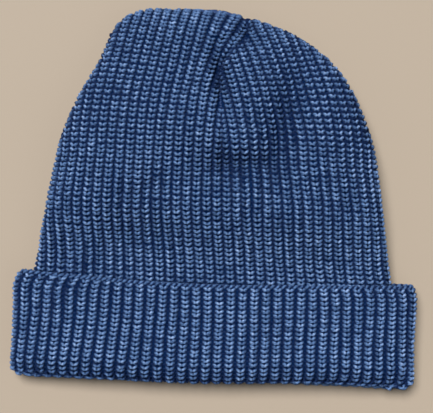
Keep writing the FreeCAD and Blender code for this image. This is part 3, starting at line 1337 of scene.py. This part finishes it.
# %% The four darts
front_dart = run_along(body, (crown_row, body_rows - 6), at_the_seam, "front_dart_stitches", -0.5 * mm, 0.6)
belongs(front_dart, "body", "dart_seam_front")
for side_name in ("right", "back", "left"):

    def at_the_dart(grid_row):
        return dart_share(side_name, grid_row)

    dart_name = f"{side_name}_dart_stitches"
    dart = run_along(body, (crown_row, body_rows - 1), at_the_dart, dart_name, -0.2 * mm, 0.6)
    belongs(dart, "body", f"dart_seam_{side_name}")

# %% [markdown]
# ## The cast-on edge
#
# Knitting starts with a cast-on, a row of loops on one strand that makes a corded edge. At
# the top of the cuff it shows as a line of small slanting turns. A twisted tube would be too
# even, so the yarn winds round the last course once for each wale, like a rope round a pole.

# %% The cast-on edge
cord_radius = 0.7 * mm
cord_row = cuff_end - 0.15
# the cast-on cord is painted a little darker all along, as painted shade
edge_shade = 0.35


def edge_path(cloth, row, radius):
    """A corded edge: the yarn winds round the last course, once each wale."""
    k = np.arange(0, wales * 10 + 1) / 10
    a = 2 * np.pi * k
    grid_row = row * sub + radius / course * sub * np.sin(a)
    path, _ = cloth.at(grid_row, k / wales, radius * np.cos(a))
    return np.column_stack([path, edge_shade + 0 * k])


cast_on = yarn_object("cast_on_cord", [edge_path(cuff, cord_row, cord_radius)], yarn_radius, rib_yarn)
belongs(cast_on, "cuff", "cast_on_edge")

# %% [markdown]
# ## The gather
#
# The last stitches of the crown are drawn up on one strand, which closes the hat in a small
# knot of loops. It is drawn as a flower: a path that runs out and in twelve times as it goes
# once round, rising as it nears the middle.

# %% The gather that closes the crown
petals = 12
gather_height = 203 * mm
gather_row = float(np.interp(gather_height, grid_h, np.arange(len(grid_h))))
turn = np.linspace(0, 2 * np.pi, petals * 14 + 1)
petal = 2.4 * mm + 1.5 * mm * np.cos(petals * turn)
rows_up = petal * np.sin(turn) / body_course * sub
share_round = petal * np.cos(turn) / girth_at(gather_row)
path, _ = body.at(gather_row + rows_up, share_round, 1.0 * mm - 0.8 * mm * np.cos(petals * turn))
gather = yarn_object("crown_gather_loops", [path], 0.8 * mm, seam_yarn)
belongs(gather, "body", "crown_gather")

# %% [markdown]
# ## The ground of the cloth
# Between the front and back loops the fabric is dense with yarn that never shows. A thin
# sheet in the middle of the wall stands for it and keeps light from passing through. It
# could be one more layer of loops, but nobody would see them. Its colour is the wool painted
# far darker than the yarn, as painted shade for the gaps between the stitches. Its finish is the same wool at
# its darkest. Each sheet is also what tells the frame how much fabric the hat is made of.

# %% The finish of the ground
# painted shade: both colours are far darker than the yarn's own navy
ground_shade_dark = (0.0005, 0.004, 0.022)
ground_shade_pale = (0.003, 0.014, 0.055)


def ground_material():
    """Matt wool painted very dark: painted shade for the gaps deep between the stitches."""
    material, nodes, links, shader = new_material("ground_cloth")
    shader.inputs["Roughness"].default_value = 0.95
    shader.inputs["Specular IOR Level"].default_value = 0.02
    tone = ranged(nodes, links, noise_node(nodes, links, 900.0, 2.0), (0.3, 0.7), (0, 1))
    colour = ramped_colours(nodes, links, tone, ground_shade_dark, ground_shade_pale)
    links.new(colour, shader.inputs["Base Color"])
    return material


ground_cloth = ground_material()
print("made", ground_cloth.name)

# %% The ground sheets
ground_thickness = 0.5 * mm


def skin_faces(n, m):
    """Faces of a closed skin: two layers of n rows and m columns, joined at both ends."""
    i = np.arange(n - 1)[:, None]
    j = np.arange(m)[None, :]
    a = i * m + j
    b = i * m + (j + 1) % m
    outer = np.stack([a, b, b + m, a + m], axis=2).reshape(-1, 4)
    inner = outer[:, ::-1] + n * m
    k = np.arange(m)
    after = (k + 1) % m
    first = np.stack([k, k + n * m, after + n * m, after], axis=1)
    end = (n - 1) * m
    last = np.stack([end + k, end + after, end + after + n * m, end + k + n * m], axis=1)
    return np.concatenate([outer, inner, first, last])


def ground_sheet(cloth, name, row_count, body_name):
    """A thin closed skin through the middle of the fabric."""
    g = np.linspace(0, row_count * sub, row_count + 1)
    s = np.arange(wales) / wales
    gg, ss = np.meshgrid(g, s, indexing="ij")
    top, _ = cloth.at(gg, ss, np.full(gg.shape, ground_thickness / 2))
    low, _ = cloth.at(gg, ss, np.full(gg.shape, -ground_thickness / 2))
    coords = np.concatenate([top.reshape(-1, 3), low.reshape(-1, 3)])
    coords[:, 2] = pressed(coords[:, 2])
    mesh = bpy.data.meshes.new(name)
    mesh.from_pydata(coords.tolist(), [], skin_faces(*gg.shape).tolist())
    mesh.polygons.foreach_set("use_smooth", np.ones(len(mesh.polygons), dtype=bool))
    mesh.materials.append(ground_cloth)
    piece = bpy.data.objects.new(name, mesh)
    bpy.context.scene.collection.objects.link(piece)
    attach(piece, body_name)
    print(piece.name, "rides on", body_name, "with", len(mesh.polygons), "faces")
    return piece


body_ground = ground_sheet(body, "body_ground", body_rows, "body")
cuff_ground = ground_sheet(cuff, "cuff_ground", cuff_end, "cuff")

# %% [markdown]
# ## Table, light and camera
#
# The hat is seen from straight above, on a plain pale surface. Knit needs light that comes
# from one side, or its loops look flat, but a hard lamp would give black gaps. So the main
# light is a distant one with a wide disc, as a window gives, with a weak square lamp from
# the other side and a dim sky to fill the shadows.


# %% The table
def floor_material():
    """A plain pale surface with nothing on it."""
    material, _, _, shader = new_material("pale_table")
    shader.inputs["Base Color"].default_value = (0.268, 0.220, 0.168, 1)
    shader.inputs["Roughness"].default_value = 0.7
    return material


table_level = -0.05 * mm
bpy.ops.mesh.primitive_plane_add(size=6, location=(0, 0, table_level))
table = bpy.context.object
table.name = "table"
table.data.materials.append(floor_material())
print("the table is at", table_level / mm, "mm")


# %% The lights
def soft_light(name, kind, place, strength, softness, colour):
    """A light that points at the hat from a place: a distant one, or a square one."""
    data = bpy.data.lights.new(name, kind)
    data.energy = strength
    data.color = colour
    if kind == "SUN":
        data.angle = softness
    else:
        data.size = softness
    lamp = bpy.data.objects.new(name, data)
    bpy.context.scene.collection.objects.link(lamp)
    lamp.location = place
    lamp.rotation_euler = (-Vector(place)).to_track_quat("-Z", "Y").to_euler()
    return lamp


soft_light("window", "SUN", (-0.30, 0.48, 1.30), 5.6, math.radians(28), (1.0, 0.98, 0.96))
soft_light("fill", "AREA", (0.9, -0.7, 1.3), 3.0, 1.2, (0.92, 0.96, 1.0))
world = bpy.data.worlds.new("studio")
world.use_nodes = True
sky = world.node_tree.nodes["Background"]
sky.inputs["Color"].default_value = (0.9, 0.95, 1.0, 1)
sky.inputs["Strength"].default_value = 0.22
bpy.context.scene.world = world

# %% [markdown]
# ## Camera
#
# The camera looks straight down and is rolled a little, as a hand-held one would be. Its
# lens follows from how wide a view it should have at the hat's own level, so the width is
# the number to change. The view transform is Standard, which leaves colours as they are set.

# %% The camera
camera_data = bpy.data.cameras.new("camera")
camera = bpy.data.objects.new("camera", camera_data)
bpy.context.scene.collection.objects.link(camera)
camera_data.sensor_width = 36.0
view_width = 252.9 * mm
camera_height = 0.75
hat_level = 0.010
camera_data.lens = camera_data.sensor_width * (camera_height - hat_level) / view_width
camera.location = (-1.35 * mm, -6.05 * mm, camera_height)
camera.rotation_euler = (0, 0, math.radians(2.3))
bpy.context.scene.camera = camera
bpy.context.scene.view_settings.view_transform = "Standard"
print("lens", round(camera_data.lens, 1), "mm")
